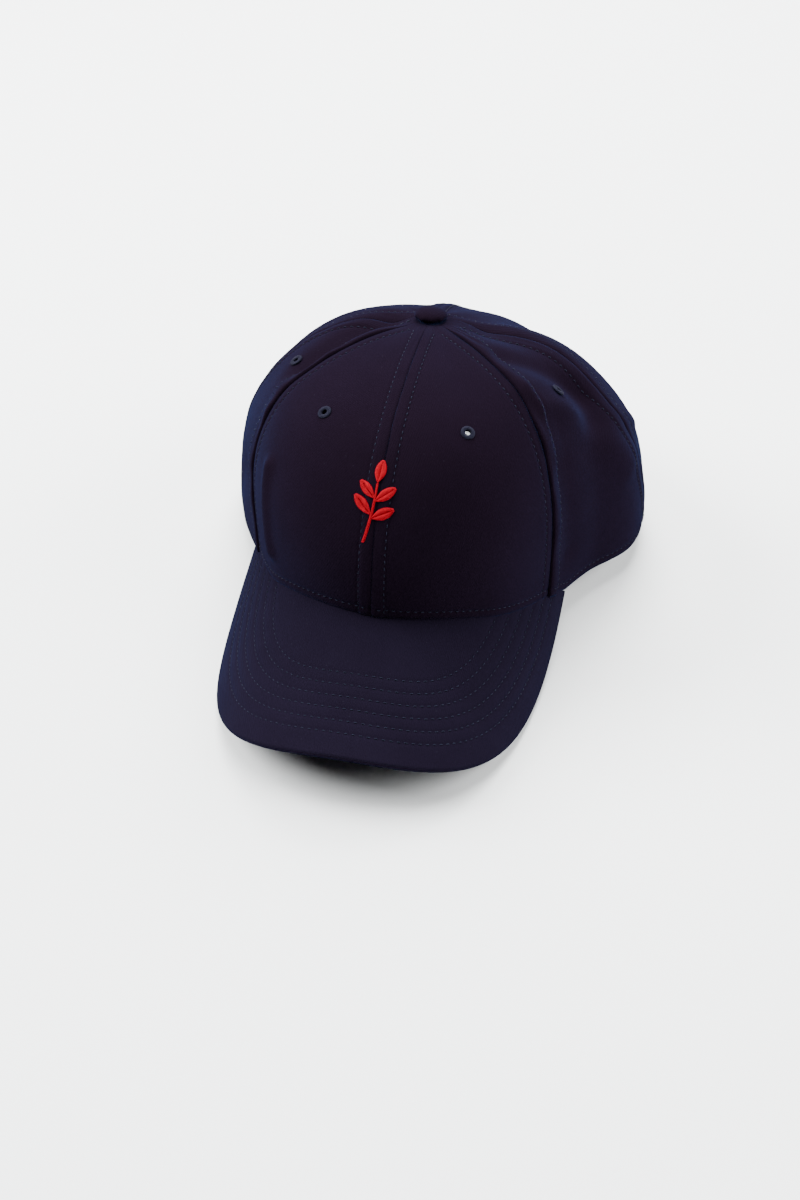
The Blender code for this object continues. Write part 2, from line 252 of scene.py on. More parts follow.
def smooth_crown(azimuth, climb):
    """Points of the crown without its folds; climb runs from 0 at the rim to 1 under the button."""
    reach, square, steep, belly = meridian(azimuth)
    plan = rim_plan(azimuth)
    low = rim_height(azimuth)
    phase = np.minimum(climb, 1.0) * math.pi / 2
    inward = np.maximum(np.cos(phase), 0.0) ** (2 / square) * (1 + belly * np.sin(2 * phase))
    upward = np.sin(phase) ** (2 / steep)
    return np.stack([plan[..., 0] * inward, plan[..., 1] * inward - BUTTON_FORWARD * upward,
                     low + (CROWN_HEIGHT - low) * upward], -1)


def unit(vectors):
    """Vectors made 1 long."""
    return vectors / np.maximum(np.linalg.norm(vectors, axis=-1, keepdims=True), 1e-12)


def crown_normal(azimuth, climb):
    """Outward directions of the smooth crown."""
    low, high = np.maximum(climb - 0.01, 0.0), np.minimum(climb + 0.01, 0.995)
    along = smooth_crown(azimuth + 1.0, climb) - smooth_crown(azimuth - 1.0, climb)
    upward = smooth_crown(azimuth, high) - smooth_crown(azimuth, low)
    return unit(np.cross(along, upward))


def fold_lift(points, azimuth):
    """How far the folds lift the cloth at points of the crown."""
    lift = np.zeros(points.shape[:-1])
    for azimuth_1, climb_1, azimuth_2, climb_2, spread, height in FOLDS:
        turn = (azimuth - azimuth_1 + 180.0) % 360.0 - 180.0
        start = smooth_crown(azimuth_1, climb_1)
        line = smooth_crown(azimuth_2, climb_2) - start
        share = np.clip((points - start) @ line / (line @ line), 0.0, 1.0)
        away = np.linalg.norm(points - start - share[..., None] * line, axis=-1) / (spread * CROWN_HEIGHT)
        lift += np.where(np.abs(turn) <= 75.0, height * CROWN_HEIGHT * np.exp(-away * away), 0.0)
    return lift


def ripple(azimuth, climb, seed, scale):
    """Soft, fixed unevenness of cloth, about -1 to 1, from a few waves that cross."""
    draws = np.random.default_rng(seed)
    total = 0.0
    for _ in range(5):
        turn = draws.uniform(0, math.pi)
        phase = draws.uniform(0, 2 * math.pi)
        rate = draws.uniform(0.6, 1.5)
        along = azimuth / 40.0 * math.cos(turn) + climb * 2.4 * math.sin(turn)
        total = total + np.sin(scale * rate * along + phase)
    return total / 3.0


def rise_at(distance, height, width):
    """Rounded rise of a height and half width, at a distance from its middle."""
    return height * np.exp(-((distance / width) ** 2))


def seam_azimuth(seam, climb):
    """Azimuth of a seam at a climb; the back seams bow."""
    azimuth, bow = SEAMS[seam]
    return azimuth + bow * np.sin(math.pi * climb)


def hub_climb(azimuth):
    """Climb at which a panel's tip ends round the button's stem."""
    square = meridian(azimuth)[1]
    share = HUB_RADIUS / np.linalg.norm(rim_plan(azimuth), axis=-1)
    return np.arccos(share ** (square / 2)) / (math.pi / 2)


def panel_width(panel, climb):
    """Width of a panel's cloth at a climb, with the azimuths of its two seams."""
    start, _, end, _ = PANELS[panel]
    first, last = seam_azimuth(start, climb), seam_azimuth(end, climb)
    middle = smooth_crown((first + last) / 2, climb)
    reach = np.hypot(middle[..., 0], middle[..., 1] + BUTTON_FORWARD)
    return np.radians(last - first) * reach, first, last


def side_relief(kind, from_seam, azimuth, climb):
    """Lift of the cloth beside a seam: the seam's groove, then the allowance, held down by its stitches."""
    lift, groove, width = SEAM_SIDES[kind]
    pucker = 1 + SEAM_PUCKER * ripple(azimuth, climb, 11, 26.0)
    strip = lift * pucker * (1 - ease((from_seam - width * 0.72) / (width * 0.28)))
    dimple = rise_at(from_seam - STITCH_FROM_SEAM, STITCH_DIMPLE, DIMPLE_WIDTH)
    return strip - dimple - rise_at(from_seam, groove, GROOVE_WIDTH)


def cloth_lift(panel, across, climb, width, azimuth, height):
    """Lift of a panel's outer face over the smooth crown: its seams, slack, hem stitches and rolled rim."""
    _, kind_start, _, kind_end = PANELS[panel]
    slack = FRONT_SLACK if "front" in panel else SIDE_SLACK
    fade = ease(width / SEAM_FADE_WIDTH - 0.3)
    sides = side_relief(kind_start, across * width, azimuth, climb)
    sides = sides + side_relief(kind_end, (1 - across) * width, azimuth + 60, climb)
    lift = sides * fade + slack * fade * ripple(azimuth, climb, 3, 6.0)
    lift = lift - rise_at(height, RIM_ROLL, DIMPLE_WIDTH)
    lift = lift - rise_at(height - HEM_STITCH_HEIGHT, HEM_DIMPLE, DIMPLE_WIDTH)
    return np.maximum(lift, -DEEPEST_DENT)


def panel_cloth(panel, across, climb, under=0.0):
    """Points of a panel's outer face in the cap's own frame, or of its inner face some way under it."""
    width, first, last = panel_width(panel, climb)
    azimuth = first + (last - first) * across
    points = smooth_crown(azimuth, climb)
    height = np.linalg.norm(points - smooth_crown(azimuth, np.zeros_like(climb)), axis=-1)
    if under:
        lift = np.full_like(height, -under)
    else:
        lift = cloth_lift(panel, across, climb, width, azimuth, height)
    turn = np.abs((azimuth + 180.0) % 360.0 - 180.0)
    lift = lift + fold_lift(points, azimuth)
    points = points + crown_normal(azimuth, climb) * lift[..., None]
    points[..., 2] -= rise_at(height, RIM_DROP, RIM_DROP_HEIGHT) * ease((PEAK_END - turn) / 3.0)
    return points


def crown_surface(azimuth, climb, lift=0.0):
    """Points over the crown, folds included."""
    azimuth, climb = np.broadcast_arrays(np.asarray(azimuth, float), np.asarray(climb, float))
    points = smooth_crown(azimuth, climb)
    return points + crown_normal(azimuth, climb) * (fold_lift(points, azimuth) + lift)[..., None]


def peak_outline(across):
    """Flat-pattern lengths of the peak's outer edge."""
    end_right = peak_join(PEAK_END)
    end_left = peak_join(-PEAK_END)
    angle = across * math.pi / 2
    width = np.where(across > 0, abs(end_right[0]), abs(end_left[0])) + PEAK_FLARE
    back = np.where(across > 0, end_right[1], end_left[1])
    aside = np.abs(np.sin(angle)) ** (2 / PEAK_CORNER)
    ahead = np.maximum(np.cos(angle), 0.0) ** (2 / PEAK_CORNER)
    return np.stack([np.sign(across) * width * aside, back + (PEAK_LENGTH - back) * ahead], -1)


def peak_pattern(across, out):
    """Flat-pattern lengths over the whole peak."""
    inner = np.stack(peak_join(across * PEAK_END), -1)
    inner[..., 1] -= PEAK_TUCK * (1 - across**8)
    return inner + (peak_outline(across) - inner) * out[..., None]


def peak_normal(across):
    """Outward directions of the peak's upper face at flat-pattern lengths across it."""
    bend = across / PEAK_BEND_RADIUS
    upright = np.cos(bend)
    return np.stack([np.sin(bend), -math.sin(PEAK_SLOPE) * upright, math.cos(PEAK_SLOPE) * upright], -1)


def peak_level(pattern, across):
    """Points of the peak's upper face from its flat pattern."""
    points = peak_sheet(pattern[..., 0], pattern[..., 1])
    points[..., 2] -= end_level(across * PEAK_END) + FIT_GAP
    return points


def rest_lean():
    """Angle the cap leans back by, until the peak's edge and the back of the rim are level."""
    across = np.linspace(-1, 1, 81)
    edge = peak_level(peak_outline(across), across)
    return float(np.max(np.arctan2(PEAK_THICKNESS - edge[:, 2], RIM_BACK - edge[:, 1])))


LEAN = Matrix.Rotation(-rest_lean(), 3, "X")


def cap_offset():
    """Where the leaned cap stands, from the crown of the solid button."""
    axis = LEAN @ Vector((0.0, 0.0, 1.0))
    top = max((v.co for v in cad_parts["button"].data.vertices), key=lambda point: point.dot(axis))
    return top - LEAN @ Vector((0.0, -BUTTON_FORWARD, CROWN_HEIGHT + FIT_GAP + BUTTON_HEIGHT))


OFFSET = cap_offset()


def to_world(points):
    """Points of the cap's own frame, leaned and stood on the floor."""
    return np.asarray(points) @ np.array(LEAN).T + np.array(OFFSET)


def grid_faces(rows, columns, start=0, flip=False, wrap=False):
    """Quads of a grid of points, row after row."""
    faces = []
    for i in range(rows - 1):
        for j in range(columns if wrap else columns - 1):
            k = (j + 1) % columns
            quad = (start + i * columns + j, start + i * columns + k,
                    start + (i + 1) * columns + k, start + (i + 1) * columns + j)
            faces.append(quad[::-1] if flip else quad)
    return faces


def grid_edge(rows, columns):
    """Numbers of the points round the edge of a grid."""
    ring = [(0, j) for j in range(columns - 1)] + [(i, columns - 1) for i in range(rows - 1)]
    ring += [(rows - 1, j) for j in range(columns - 1, 0, -1)] + [(i, 0) for i in range(rows - 1, 0, -1)]
    return [i * columns + j for i, j in ring]


def make_piece(name, points, faces, material, flat=None):
    """Mesh object from world points, shaded smooth, with an optional flat cloth map."""
    mesh = bpy.data.meshes.new(name)
    mesh.from_pydata([tuple(p) for p in np.asarray(points, float)], [], faces)
    mesh.validate()
    mesh.update()
    if flat is not None:
        layer = mesh.uv_layers.new(name="cloth")
        corners = np.empty(len(mesh.loops), int)
        mesh.loops.foreach_get("vertex_index", corners)
        layer.data.foreach_set("uv", np.asarray(flat, float)[corners].ravel())
    mesh.shade_smooth()
    mesh.materials.append(material)
    thing = bpy.data.objects.new(name, mesh)
    bpy.context.scene.collection.objects.link(thing)
    return thing


# Materials

NAP_WEIGHT = 0.036
NAP_ROUGHNESS = 0.4
NAP_TINT = (0.11, 0.29, 0.88, 1.0)
LINT_COLOR = (0.055, 0.055, 0.075, 1.0)
RIB_ANGLE = math.radians(28.0)


def nodes_of(material):
    """A material's node tree and its shader."""
    tree = material.node_tree
    return tree, tree.nodes["Principled BSDF"]


def add_node(tree, kind, **values):
    """New node with its inputs or settings given by name."""
    node = tree.nodes.new(kind)
    for key, value in values.items():
        if key in node.inputs:
            node.inputs[key].default_value = value
        else:
            setattr(node, key, value)
    return node


def cloth_material(name, dark, light):
    """Brushed twill: a fine diagonal rib, a soft nap, uneven dye and a little lint."""
    material = bpy.data.materials.new(name)
    material.use_nodes = True
    tree, shader = nodes_of(material)
    link = tree.links.new
    place = add_node(tree, "ShaderNodeTexCoord")
    flat = add_node(tree, "ShaderNodeUVMap", uv_map="cloth")

    cloud = add_node(tree, "ShaderNodeTexNoise", Scale=35.0, Detail=4.0, Roughness=0.6)
    nap = add_node(tree, "ShaderNodeTexNoise", Scale=900.0, Detail=5.0, Roughness=0.7)
    link(place.outputs["Object"], cloud.inputs["Vector"])
    link(place.outputs["Object"], nap.inputs["Vector"])
    turn = add_node(tree, "ShaderNodeMapping")
    turn.inputs["Rotation"].default_value = (0.0, 0.0, RIB_ANGLE)
    link(flat.outputs["UV"], turn.inputs["Vector"])
    rib = add_node(tree, "ShaderNodeTexWave", Scale=330.0, Distortion=2.5, Detail=2.0)
    rib.inputs["Detail Scale"].default_value = 1.5
    link(turn.outputs["Vector"], rib.inputs["Vector"])

    mix_cloud = add_node(tree, "ShaderNodeMixRGB")
    mix_cloud.inputs["Color1"].default_value = (*dark, 1.0)
    mix_cloud.inputs["Color2"].default_value = (*light, 1.0)
    spread = add_node(tree, "ShaderNodeMath", operation="MULTIPLY_ADD")
    spread.inputs[1].default_value = 0.55
    link(cloud.outputs["Fac"], spread.inputs[0])
    grain = add_node(tree, "ShaderNodeMath", operation="MULTIPLY")
    grain.inputs[1].default_value = 0.45
    link(nap.outputs["Fac"], grain.inputs[0])
    link(grain.outputs["Value"], spread.inputs[2])
    link(spread.outputs["Value"], mix_cloud.inputs["Fac"])

    specks = add_node(tree, "ShaderNodeTexVoronoi", Scale=260.0)
    link(place.outputs["Object"], specks.inputs["Vector"])
    lint = add_node(tree, "ShaderNodeMapRange")
    lint.inputs["From Min"].default_value = 0.045
    lint.inputs["From Max"].default_value = 0.0
    lint.inputs["To Max"].default_value = 0.35
    link(specks.outputs["Distance"], lint.inputs["Value"])
    mix_lint = add_node(tree, "ShaderNodeMixRGB")
    mix_lint.inputs["Color2"].default_value = LINT_COLOR
    link(lint.outputs["Result"], mix_lint.inputs["Fac"])
    link(mix_cloud.outputs["Color"], mix_lint.inputs["Color1"])
    link(mix_lint.outputs["Color"], shader.inputs["Base Color"])

    height = add_node(tree, "ShaderNodeMath", operation="MULTIPLY_ADD")
    height.inputs[1].default_value = 0.6
    link(rib.outputs["Fac"], height.inputs[0])
    link(nap.outputs["Fac"], height.inputs[2])
    bump = add_node(tree, "ShaderNodeBump", Strength=0.35, Distance=0.00025)
    link(height.outputs["Value"], bump.inputs["Height"])
    link(bump.outputs["Normal"], shader.inputs["Normal"])

    shader.inputs["Roughness"].default_value = 0.88
    shader.inputs["Specular IOR Level"].default_value = 0.0
    shader.inputs["Sheen Weight"].default_value = NAP_WEIGHT
    shader.inputs["Sheen Roughness"].default_value = NAP_ROUGHNESS
    shader.inputs["Sheen Tint"].default_value = NAP_TINT
    return material


def thread_material(name, color, rough=0.55):
    """Twisted thread: fine streaks with a soft gloss."""
    material = bpy.data.materials.new(name)
    material.use_nodes = True
    tree, shader = nodes_of(material)
    place = add_node(tree, "ShaderNodeTexCoord")
    fibre = add_node(tree, "ShaderNodeTexNoise", Scale=2600.0, Detail=3.0, Roughness=0.6)
    tree.links.new(place.outputs["Object"], fibre.inputs["Vector"])
    ramp = add_node(tree, "ShaderNodeMixRGB")
    ramp.inputs["Color1"].default_value = (*[c * 0.6 for c in color], 1.0)
    ramp.inputs["Color2"].default_value = (*[min(1.0, c * 1.3) for c in color], 1.0)
    tree.links.new(fibre.outputs["Fac"], ramp.inputs["Fac"])
    tree.links.new(ramp.outputs["Color"], shader.inputs["Base Color"])
    bump = add_node(tree, "ShaderNodeBump", Strength=0.5, Distance=0.0001)
    tree.links.new(fibre.outputs["Fac"], bump.inputs["Height"])
    tree.links.new(bump.outputs["Normal"], shader.inputs["Normal"])
    shader.inputs["Roughness"].default_value = rough
    shader.inputs["Specular IOR Level"].default_value = 0.01
    return material


CROWN_CLOTH = cloth_material("crown_twill", (0.0035, 0.0018, 0.0036), (0.0058, 0.0032, 0.0070))
# The peak's cloth is a lighter, bluer copy of the crown's: painted light, standing in for the light its
# upward face catches.
PEAK_CLOTH_PAINTED_LIGHT = cloth_material("peak_twill_painted_light", (0.0038, 0.0026, 0.0056), (0.0066, 0.0048, 0.0108))
SEAM_THREAD = thread_material("seam_thread", (0.0130, 0.0148, 0.0262))
EYELET_THREAD = thread_material("eyelet_thread_blue", (0.0095, 0.0095, 0.0175))
RED_THREAD = thread_material("red_thread", (0.215, 0.0030, 0.0080), 0.7)


# Crown

HEM_SHARE = 0.05
HEM_ROWS = 16
PANEL_ROWS = 105
ROW_SPREAD = 1.3


def cloth_columns(width):
    """Shares across a panel: fine and evenly spaced near both seams, wider in the middle."""
    block = np.minimum(SEAM_BLOCK, 0.4 * width)
    near = np.linspace(0, 1, 17)[None, :] * block[:, None]
    middle = block[:, None] + np.linspace(0, 1, 52)[None, 1:-1] * (width - 2 * block)[:, None]
    return np.concatenate([near, middle, (width[:, None] - near)[:, ::-1]], 1) / width[:, None]


def make_panel(name):
    """One sewn panel: outer face with its seams and hem, inner face and closed edges."""
    start, _, end, _ = PANELS[name]
    up = np.concatenate([np.linspace(0, HEM_SHARE, HEM_ROWS)[:-1], np.linspace(HEM_SHARE, 1, PANEL_ROWS)])
    up = up**ROW_SPREAD
    width, _, _ = panel_width(name, up * 0.97)
    across = cloth_columns(width)
    rows, columns = across.shape
    first, last = seam_azimuth(start, 0.0), seam_azimuth(end, 0.0)
    climb = hub_climb(first + (last - first) * across) * up[:, None]
    outer = panel_cloth(name, across, climb)
    inner = panel_cloth(name, across, climb, CLOTH)
    count = rows * columns
    faces = grid_faces(rows, columns) + grid_faces(rows, columns, count, True)
    edge = grid_edge(rows, columns)
    for a, b in zip(edge, edge[1:] + edge[:1]):
        faces.append((b, a, a + count, b + count))
    steps = np.linalg.norm(np.diff(outer[:, columns // 2], axis=0), axis=1)
    along = np.concatenate([[0], np.cumsum(steps)])
    flat = np.stack([(across - 0.5) * width[:, None], np.broadcast_to(along[:, None], across.shape)], -1)
    flat = np.tile(flat.reshape(-1, 2), (2, 1))
    points = np.concatenate([outer.reshape(-1, 3), inner.reshape(-1, 3)])
    return make_piece(name + "_cloth", to_world(points), faces, CROWN_CLOTH, flat)


def surface_matrix(azimuth, climb):
    """World matrix that stands on the crown: Z outward, Y up the panel."""
    origin = Vector(to_world(crown_surface(azimuth, climb)))
    along = crown_surface(azimuth + 2.0, climb) - crown_surface(azimuth - 2.0, climb)
    upward = LEAN @ Vector(crown_surface(azimuth, climb + 0.02) - crown_surface(azimuth, climb - 0.02))
    normal = (LEAN @ Vector(along)).cross(upward).normalized()
    upward = (upward - normal * upward.dot(normal)).normalized()
    side = upward.cross(normal)
    turn = Matrix((side, upward, normal)).transposed().to_4x4()
    return Matrix.Translation(origin) @ turn


def cut_through(thing, cutter):
    """Cut a hole and keep the result as the mesh."""
    hole = thing.modifiers.new("hole", "BOOLEAN")
    hole.operation = "DIFFERENCE"
    hole.solver = "EXACT"
    hole.object = cutter
    bpy.context.view_layer.update()
    shape = thing.evaluated_get(bpy.context.evaluated_depsgraph_get())
    mesh = bpy.data.meshes.new_from_object(shape, preserve_all_data_layers=True,
                                           depsgraph=bpy.context.evaluated_depsgraph_get())
    thing.modifiers.clear()
    thing.data = mesh
    bpy.data.objects.remove(cutter)


def cylinder(radius, depth, matrix, sides, squeeze=1.0):
    """Round or oval cutter along its own Z axis."""
    shape = bmesh.new()
    bmesh.ops.create_cone(shape, cap_ends=True, segments=sides, radius1=radius, radius2=radius, depth=depth)
    for vertex in shape.verts:
        vertex.co.y *= squeeze
    mesh = bpy.data.meshes.new("cutter")
    shape.to_mesh(mesh)
    shape.free()
    thing = bpy.data.objects.new("cutter", mesh)
    bpy.context.scene.collection.objects.link(thing)
    thing.matrix_world = matrix
    return thing


# A direction that no thread happens to run along
ODD_DIRECTION = np.array((0.17, 0.31, 0.93))


def thread_mesh(strands, radius, sides=6):
    """Points and faces of short threads, each a run of points with tapered ends."""
    points, faces = [], []
    for strand in strands:
        strand = np.asarray(strand, float)
        ahead = unit(np.gradient(strand, axis=0))
        side = unit(np.cross(ahead, ODD_DIRECTION))
        other = np.cross(ahead, side)
        start = len(points)
        count = len(strand)
        for i in range(count):
            edge = min(i, count - 1 - i)
            wide = radius * (0.45 if edge == 0 else 1.0)
            for k in range(sides):
                angle = 2 * math.pi * k / sides
                points.append(strand[i] + wide * (math.cos(angle) * side[i] + math.sin(angle) * other[i]))
        faces += grid_faces(count, sides, start, False, True)
        faces.append(tuple(range(start + sides - 1, start - 1, -1)))
        faces.append(tuple(range(start + (count - 1) * sides, start + count * sides)))
    return points, faces


def stitch_strands(path, normals):
    """Short threads that lie along a path, proud in the middle and sunk at both ends."""
    steps = np.linalg.norm(np.diff(path, axis=0), axis=1)
    far = np.concatenate([[0], np.cumsum(steps)])
    count = int(far[-1] / STITCH_PITCH)
    arch = STITCH_BULGE * np.array((-0.6, 0.6, 1.0, 0.6, -0.6))
    strands = []
    for k in range(count):
        places = (k + 0.5) * far[-1] / count + STITCH_LENGTH * np.linspace(-0.5, 0.5, 5)
        base = np.stack([np.interp(places, far, path[:, axis]) for axis in range(3)], -1)
        out = np.stack([np.interp(places, far, normals[:, axis]) for axis in range(3)], -1)
        strands.append(base + out * arch[:, None])
    return strands


def panel_path(panel, seam_side, distance, climb):
    """Path on a panel at a fixed distance from one of its seams."""
    width, first, last = panel_width(panel, climb)
    share = np.minimum(distance / width, 0.45)
    across = share if seam_side == "start" else 1 - share
    azimuth = first + (last - first) * across
    path = to_world(panel_cloth(panel, across, climb))
    return path, crown_normal(azimuth, climb) @ np.array(LEAN).T


def make_seam_stitches():
    """A row of topstitching on each side of every seam, from the rim or the arch up to the button."""
    strands = []
    for panel, (start, _, end, _) in PANELS.items():
        for side, seam in (("start", start), ("end", end)):
            low = ARCH_TOP_CLIMB if seam == "back" else 0.004
            path, out = panel_path(panel, side, STITCH_FROM_SEAM, np.linspace(low, 0.955, 400))
            strands += stitch_strands(path, out)
    points, faces = thread_mesh(strands, THREAD_RADIUS)
    return make_piece("seam_stitches", points, faces, SEAM_THREAD)


def hem_climb(panel, across):
    """Climb of the hem's stitches, found in a few steps, with the azimuths there."""
    climb = np.zeros_like(across)
    for _ in range(6):
        _, first, last = panel_width(panel, climb)
        azimuth = first + (last - first) * across
        rise = smooth_crown(azimuth, climb) - smooth_crown(azimuth, np.zeros_like(climb))
        climb = np.clip(climb + (HEM_STITCH_HEIGHT - np.linalg.norm(rise, axis=-1)) * 2.0, 0.0, 0.1)
    return climb, azimuth


def make_hem_stitches():
    """The row of stitches round the rim that holds the turned edge, open at the arch."""
    strands = []
    arch_half_angle = math.degrees(ARCH_HALF_WIDTH / abs(RIM_BACK)) + 2.0
    for panel in PANELS:
        across = np.linspace(0.02, 0.98, 300)
        climb, azimuth = hem_climb(panel, across)
        path = to_world(panel_cloth(panel, across, climb))
        out = crown_normal(azimuth, climb) @ np.array(LEAN).T
        keep = np.abs(azimuth - 180.0) > arch_half_angle
        strands += stitch_strands(path[keep], out[keep])
    points, faces = thread_mesh(strands, THREAD_RADIUS)
    return make_piece("hem_stitches", points, faces, SEAM_THREAD)


def arch_cutter():
    """Oval cutter of the arch, with its middle on the back of the rim."""
    cap = Matrix.Translation(OFFSET) @ LEAN.to_4x4()
    place = cap @ Matrix.Translation((0, RIM_BACK, 0)) @ Matrix.Rotation(math.pi / 2, 4, "X")
    return cylinder(ARCH_HALF_WIDTH, CROWN_LENGTH / 2, place, 64, ARCH_HEIGHT / ARCH_HALF_WIDTH)


def make_crown():
    """Six panels with their holes, and the stitches on them."""
    for name, (start, _, end, _) in PANELS.items():
        panel = make_panel(name)
        middle = float(seam_azimuth(start, EYELET_CLIMB) + seam_azimuth(end, EYELET_CLIMB)) / 2
        matrix = surface_matrix(middle, EYELET_CLIMB)
        cut_through(panel, cylinder(EYELET_HOLE + EYELET_SPARE, EYELET_CUT_DEPTH, matrix, 24))
        if "back" in name:
            cut_through(panel, arch_cutter())
        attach(panel, "root")
        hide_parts(name)
        ring = make_eyelet(name.replace("panel", "eyelet"), matrix)
        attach(ring, "root")
        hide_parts(name.replace("panel", "eyelet"))
    for stitches in (make_seam_stitches(), make_hem_stitches()):
        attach(stitches, "root")


def make_eyelet(name, matrix):
    """Worked eyelet: a ring of close radial stitches round the hole."""
    turns, around = 6 * EYELET_STITCHES, 12
    middle = (EYELET_RADIUS + EYELET_HOLE) / 2
    half = (EYELET_RADIUS - EYELET_HOLE) / 2
    points = []
    for i in range(turns):
        angle = 2 * math.pi * i / turns
        thread = 1 + 0.10 * math.cos(angle * EYELET_STITCHES)
        ragged = 1 + 0.05 * math.cos(angle * EYELET_STITCHES + 1)
        for k in range(around):
            turn = 2 * math.pi * k / around
            reach = middle + half * math.cos(turn) * ragged
            rise = EYELET_RISE * math.sin(turn) * thread + EYELET_LIFT
            points.append(matrix @ Vector((reach * math.cos(angle), reach * math.sin(angle), rise)))
    faces = grid_faces(turns, around, 0, False, True)
    last = (turns - 1) * around
    for k in range(around):
        n = (k + 1) % around
        faces.append((last + k, last + n, n, k))
    return make_piece(name + "_ring", points, faces, EYELET_THREAD)


# Peak


def edge_distance(pattern):
    """Flat distance of pattern points from the peak's outer edge."""
    outline = peak_outline(np.linspace(-1, 1, 500))
    flat = pattern.reshape(-1, 2)
    best = np.full(len(flat), 1.0)
    for a, b in zip(outline[:-1], outline[1:]):
        line = b - a
        share = np.clip((flat - a) @ line / (line @ line), 0, 1)
        best = np.minimum(best, np.linalg.norm(flat - a - share[:, None] * line, axis=1))
    return best.reshape(pattern.shape[:-1])


def peak_points(across, out, face):
    """World points of the peak's upper (face 1) or lower (face -1) side, with their flat pattern."""
    pattern = peak_pattern(across, out)
    normal = peak_normal(pattern[..., 0])
    away = edge_distance(pattern)
    half = PEAK_THICKNESS / 2
    rounded = np.sqrt(np.maximum(half**2 - np.maximum(half - away, 0) ** 2, 0))
    rows = PEAK_ROW_FIRST + PEAK_ROW_STEP * np.arange(PEAK_ROWS)
    channel = sum(rise_at(away - row, PEAK_CHANNEL, PEAK_CHANNEL_WIDTH) for row in rows)
    centre = peak_level(pattern, across) - normal * half
    return to_world(centre + face * normal * (rounded - channel)[..., None]), pattern


def peak_shares():
    """Shares across and out over the peak, closer together at its ends and its outer edge."""
    spread = np.linspace(-1, 1, 241)
    across = np.sin(spread * math.pi / 2) * 0.35 + spread * 0.65
    out = np.concatenate([np.linspace(0, 0.965, 100), 1 - 0.035 * np.linspace(1, 0, 13)[1:] ** 2])
    return np.meshgrid(across, out, indexing="ij")


def make_peak():
    """The stitched peak as one closed piece: both faces, the rounded outer edge and the tucked inner edge."""
    across, out = peak_shares()
    upper, pattern = peak_points(across, out, 1)
    lower, _ = peak_points(across, out, -1)
    rows, columns = across.shape
    points = np.concatenate([upper.reshape(-1, 3), lower[:, :-1].reshape(-1, 3)])
    count = rows * columns
    low = columns - 1
    faces = grid_faces(rows, columns, 0, True) + grid_faces(rows, low, count)
    for i in range(rows - 1):
        a, b = i * columns, (i + 1) * columns
        c, d = count + i * low, count + (i + 1) * low
        faces.append((a, b, d, c))
        faces.append((a + columns - 1, c + low - 1, d + low - 1, b + columns - 1))
    for i, turn in ((0, 1), (rows - 1, -1)):
        a, c = i * columns, count + i * low
        for j in range(columns - 2):
            faces.append((a + j, c + j, c + j + 1, a + j + 1)[::turn])
        faces.append((a + columns - 2, c + low - 1, a + columns - 1)[::turn])
    flat = np.concatenate([pattern.reshape(-1, 2), pattern[:, :-1].reshape(-1, 2)])
    peak = make_piece("peak_cloth", points, faces, PEAK_CLOTH_PAINTED_LIGHT, flat)
    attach(peak, "root")
    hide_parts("peak")
    stitches = make_peak_stitches()
    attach(stitches, "root")


def make_peak_stitches():
    """Rows of stitches on both faces that follow the outer edge and run back to the crown."""
    outline = peak_outline(np.linspace(-1, 1, 900))
    ahead = unit(np.gradient(outline, axis=0))
    inward = np.stack([ahead[:, 1], -ahead[:, 0]], -1)
    join_azimuth = np.linspace(-PEAK_END, PEAK_END, 400)
    join_across, join_forward = peak_join(join_azimuth)
    strands = []
    for row in range(PEAK_ROWS):
        path = outline + inward * (PEAK_ROW_FIRST + PEAK_ROW_STEP * row)
        crown_edge = np.interp(path[:, 0], join_across, join_forward) + 1.0 * MM
        between = (path[:, 0] > join_across[0]) & (path[:, 0] < join_across[-1])
        path = path[(path[:, 1] > crown_edge) & between]
        base = peak_level(path, np.interp(path[:, 0], join_across, join_azimuth) / PEAK_END)
        normal = peak_normal(path[:, 0])
        out = normal @ np.array(LEAN).T
        strands += stitch_strands(to_world(base - normal * PEAK_CHANNEL), out)
        strands += stitch_strands(to_world(base - normal * (PEAK_THICKNESS - PEAK_CHANNEL)), -out)
    points, faces = thread_mesh(strands, THREAD_RADIUS)
    return make_piece("peak_stitches", points, faces, SEAM_THREAD)


# Button and strap

BUTTON_GATHERS = 9
BUTTON_GATHER_DEPTH = 0.22 * MM
BUTTON_WRAP = math.radians(118.0)


def make_button():
    """Cloth drawn over a round former, gathered under its edge."""
    turns, steps = 96, 22
    points = []
    base = Vector((0.0, -BUTTON_FORWARD, CROWN_HEIGHT))
    for i in range(steps):
        angle = BUTTON_WRAP * i / (steps - 1)
        for k in range(turns):
            around = 2 * math.pi * k / turns
            gather = BUTTON_GATHER_DEPTH * math.sin(BUTTON_GATHERS * around + 0.7) * ease((angle - 1.0) / 0.9)
            reach = (BUTTON_RADIUS + gather) * math.sin(angle)
            rise = FIT_GAP + BUTTON_HEIGHT * (0.36 + 0.64 * math.cos(angle))
            points.append(base + Vector((reach * math.cos(around), reach * math.sin(around), rise)))
    faces = grid_faces(steps, turns, 0, False, True)
    faces.append(tuple(range((steps - 1) * turns, steps * turns)))
    flat = [(p.x, p.y) for p in points]
    button = make_piece("button_cover", to_world([tuple(p) for p in points]), faces, CROWN_CLOTH, flat)
    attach(button, "root")
    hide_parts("button")


